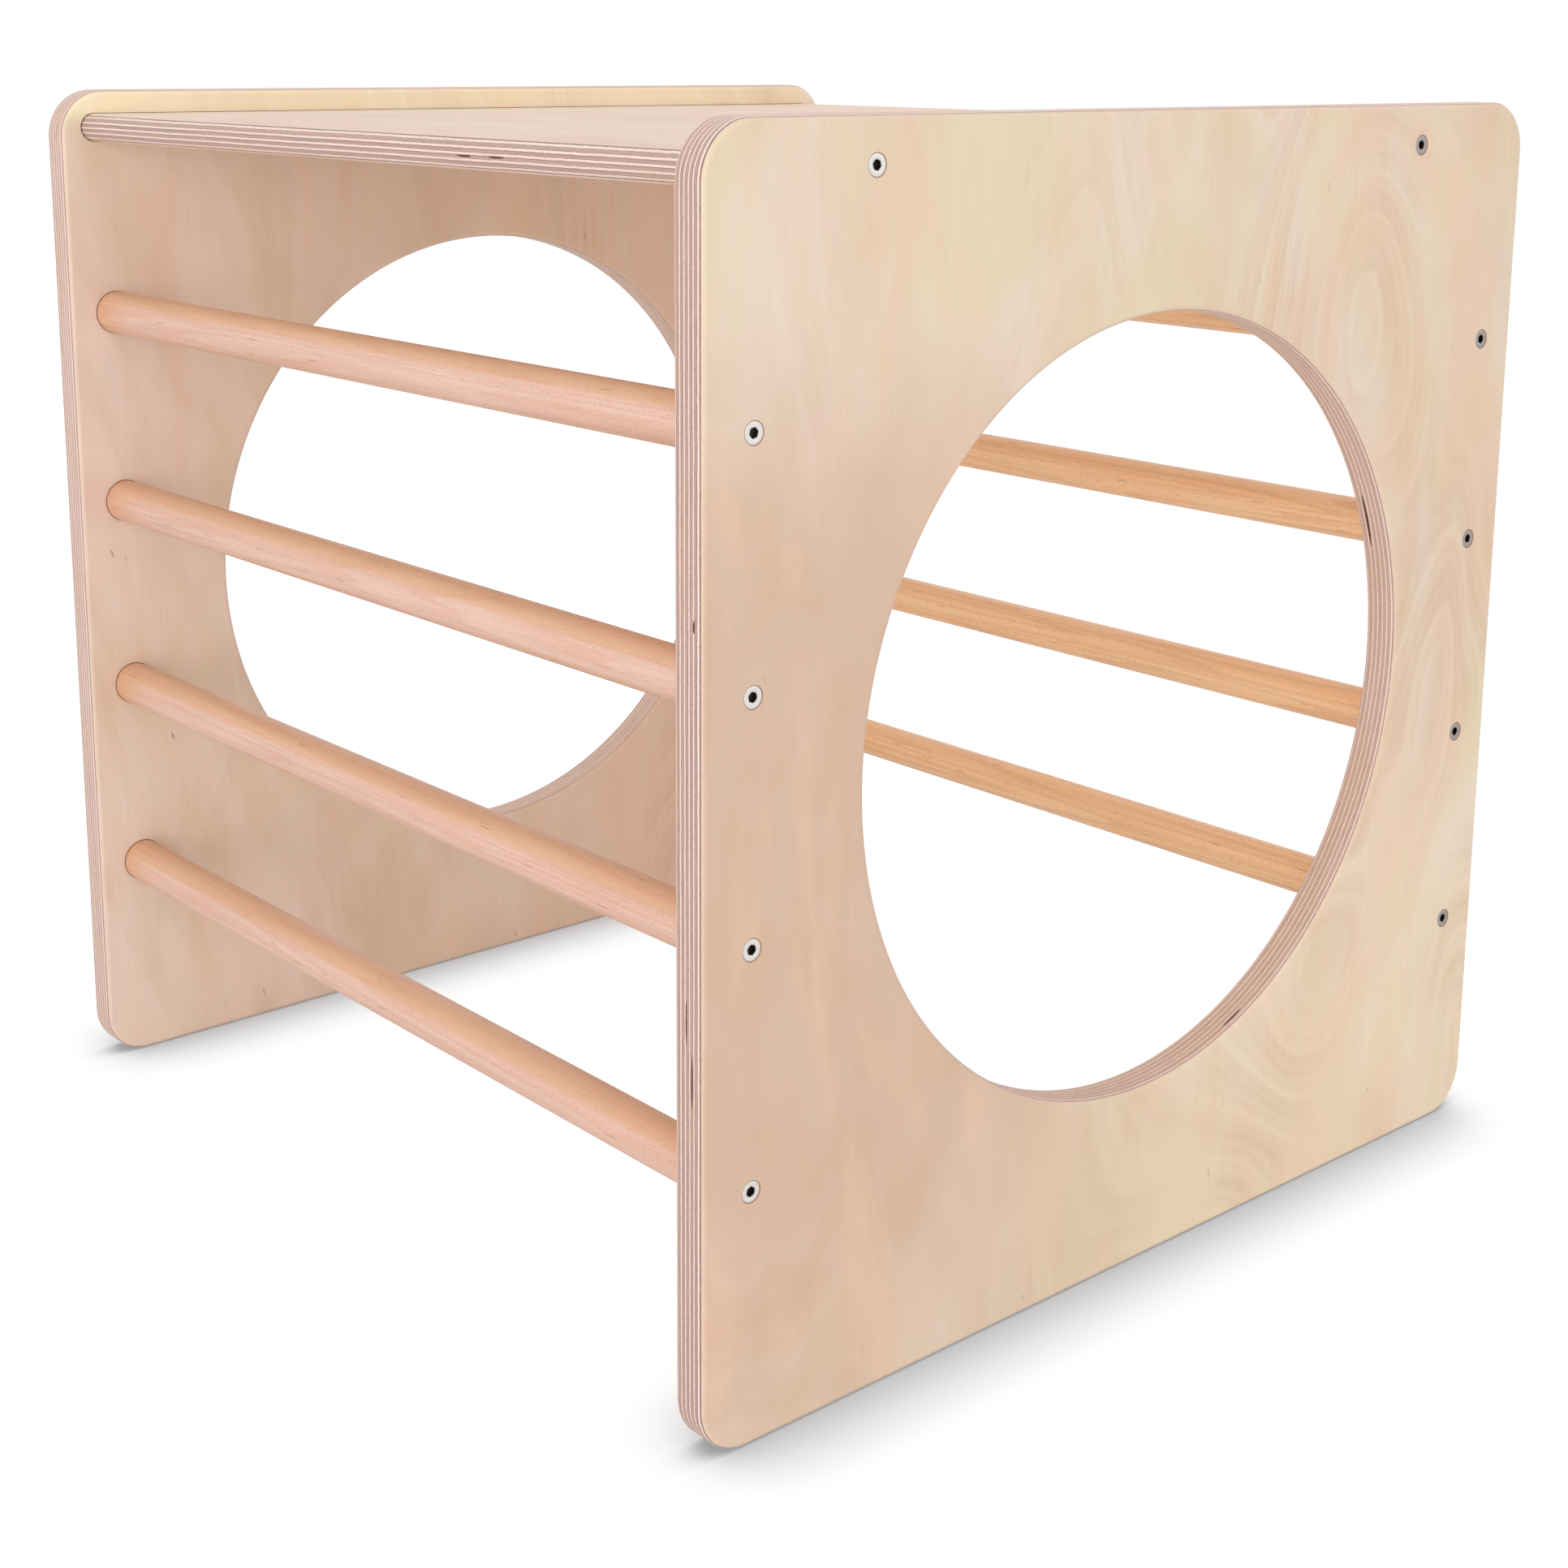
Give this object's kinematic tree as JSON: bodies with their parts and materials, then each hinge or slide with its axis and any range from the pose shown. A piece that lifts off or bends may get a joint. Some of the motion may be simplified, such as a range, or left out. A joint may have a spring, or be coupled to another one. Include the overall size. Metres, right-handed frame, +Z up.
{
  "type": "climbing cube",
  "caption": "Low wooden climbing frame: two square plywood sides with a large round crawl hole, a flat top board and round rungs up the front and back, screwed together.",
  "frame": {"origin": "on the floor, under the middle of the cube", "axes": "+X along the rungs from the left panel to the right one, +Y from the front ladder to the back one, +Z up"},
  "size_m": [0.563, 0.55, 0.555],
  "materials": {
    "panel_birch_ply": "birch plywood, clear matt lacquer, sanded and rounded edges",
    "board_birch_ply": "birch plywood, clear matt lacquer, full round front and back edges",
    "rung_beech": "turned beech, clear matt lacquer",
    "screw_zinc": "bright zinc plated steel"
  },
  "bodies": {
    "root": {"left_side_panel": "panel_birch_ply", "right_side_panel": "panel_birch_ply", "top_board": "board_birch_ply", "front_rung_1": "rung_beech", "front_rung_2": "rung_beech", "front_rung_3": "rung_beech", "front_rung_4": "rung_beech", "back_rung_1": "rung_beech", "back_rung_2": "rung_beech", "back_rung_3": "rung_beech", "back_rung_4": "rung_beech", "left_screw_front_rung_1": "screw_zinc", "left_screw_front_rung_2": "screw_zinc", "left_screw_front_rung_3": "screw_zinc", "left_screw_front_rung_4": "screw_zinc", "left_screw_board_front": "screw_zinc", "left_screw_back_rung_1": "screw_zinc", "left_screw_back_rung_2": "screw_zinc", "left_screw_back_rung_3": "screw_zinc", "left_screw_back_rung_4": "screw_zinc", "left_screw_board_back": "screw_zinc", "right_screw_front_rung_1": "screw_zinc", "right_screw_front_rung_2": "screw_zinc", "right_screw_front_rung_3": "screw_zinc", "right_screw_front_rung_4": "screw_zinc", "right_screw_board_front": "screw_zinc", "right_screw_back_rung_1": "screw_zinc", "right_screw_back_rung_2": "screw_zinc", "right_screw_back_rung_3": "screw_zinc", "right_screw_back_rung_4": "screw_zinc", "right_screw_board_back": "screw_zinc"}
  },
  "joints": []
}
